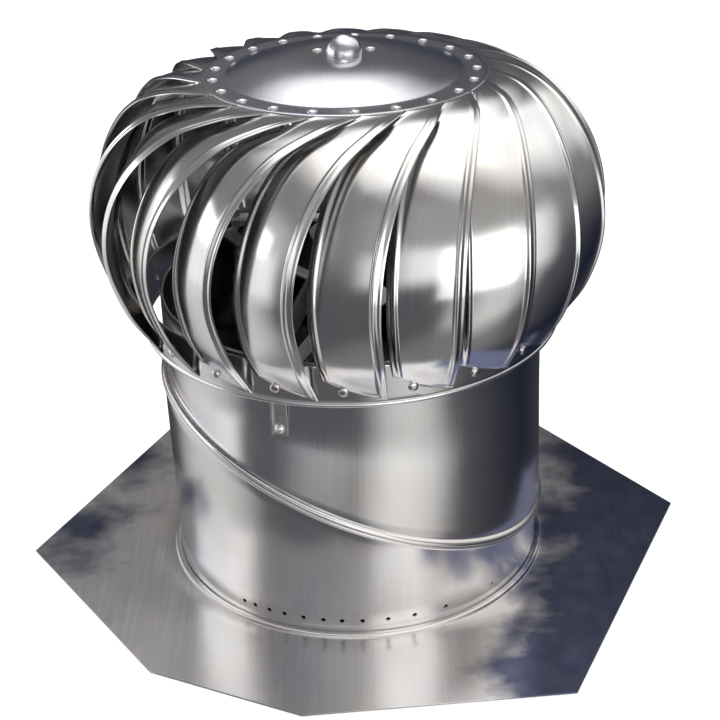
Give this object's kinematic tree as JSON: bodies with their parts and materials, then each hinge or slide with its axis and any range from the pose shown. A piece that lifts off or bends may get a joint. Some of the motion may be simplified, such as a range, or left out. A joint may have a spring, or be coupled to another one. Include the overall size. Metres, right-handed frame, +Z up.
{
  "type": "roof turbine ventilator",
  "caption": "Wind-driven roof turbine vent: curved vanes under a riveted crown turn on a braced shaft over a collar with a slanted swivel seam and a flat flashing.",
  "frame": {"origin": "on the collar's axis, at the underside of the flashing plate", "axes": "+Z up along the shaft and the collar, +X along the flashing's longest extent and down the slanted seam, +Y to the back of the view in the picture"},
  "size_m": [0.5662, 0.5008, 0.4465],
  "materials": {
    "mill_aluminium": "mill-finish sheet with fine brushing",
    "zinc_plated_steel": "bright zinc plating",
    "bearing_steel": "ground bearing steel",
    "cage_nylon": "natural nylon"
  },
  "bodies": {
    "flashing": {"flashing_plate": "mill_aluminium"},
    "lower_base": {"lower_collar": "mill_aluminium"},
    "upper_base": {"upper_collar": "mill_aluminium", "brace_leg_1": "zinc_plated_steel", "brace_leg_2": "zinc_plated_steel", "brace_leg_3": "zinc_plated_steel", "lower_brace": "zinc_plated_steel", "brace_feet": "zinc_plated_steel", "upper_hub": "zinc_plated_steel", "hub_rivets": "zinc_plated_steel", "leg_screws": "zinc_plated_steel", "leg_nuts": "zinc_plated_steel", "shaft": "zinc_plated_steel", "shaft_bottom_nut": "zinc_plated_steel", "shaft_top_nut": "zinc_plated_steel", "upper_bearing_inner_race": "bearing_steel", "lower_bearing_inner_race": "bearing_steel", "upper_shaft_clip": "bearing_steel", "lower_shaft_clip": "bearing_steel"},
    "turbine_head": {"bearing_tube": "mill_aluminium", "bearing_tube_clip": "bearing_steel", "upper_bearing_outer_race": "bearing_steel", "lower_bearing_outer_race": "bearing_steel", "crown": "mill_aluminium", "crown_rivets": "mill_aluminium", "knob": "mill_aluminium", "knob_rivets": "mill_aluminium", "rotor_band": "mill_aluminium", "band_rivets": "mill_aluminium", "vane_01": "mill_aluminium", "vane_02": "mill_aluminium", "vane_03": "mill_aluminium", "vane_04": "mill_aluminium", "vane_05": "mill_aluminium", "vane_06": "mill_aluminium", "vane_07": "mill_aluminium", "vane_08": "mill_aluminium", "vane_09": "mill_aluminium", "vane_10": "mill_aluminium", "vane_11": "mill_aluminium", "vane_12": "mill_aluminium", "vane_13": "mill_aluminium", "vane_14": "mill_aluminium", "vane_15": "mill_aluminium", "vane_16": "mill_aluminium", "vane_17": "mill_aluminium", "vane_18": "mill_aluminium", "vane_19": "mill_aluminium", "vane_20": "mill_aluminium", "vane_21": "mill_aluminium"},
    "upper_ball_set": {"upper_bearing_balls": "bearing_steel", "upper_bearing_cage": "cage_nylon"},
    "lower_ball_set": {"lower_bearing_balls": "bearing_steel", "lower_bearing_cage": "cage_nylon"}
  },
  "joints": [
    {"name": "foot_turn", "type": "hinge", "parent": "flashing", "child": "lower_base", "pos_m": [0, 0, 0.003], "axis": [0, 0, 1], "continuous": true},
    {"name": "pitch_turn", "type": "hinge", "parent": "lower_base", "child": "upper_base", "pos_m": [0, 0, 0.11], "axis": [0.3827, 0, 0.9239], "range_deg": [-180, 180]},
    {"name": "head_spin", "type": "hinge", "parent": "upper_base", "child": "turbine_head", "pos_m": [0, 0, 0.402], "axis": [0, 0, 1], "continuous": true},
    {"name": "upper_ball_spin", "type": "hinge", "parent": "upper_base", "child": "upper_ball_set", "pos_m": [0, 0, 0.402], "axis": [0, 0, 1], "continuous": true},
    {"name": "lower_ball_spin", "type": "hinge", "parent": "upper_base", "child": "lower_ball_set", "pos_m": [0, 0, 0.356], "axis": [0, 0, 1], "continuous": true}
  ],
  "couplings": [
    {"joint": "upper_ball_spin", "follows": "head_spin", "ratio": 0.619},
    {"joint": "lower_ball_spin", "follows": "head_spin", "ratio": 0.619}
  ]
}
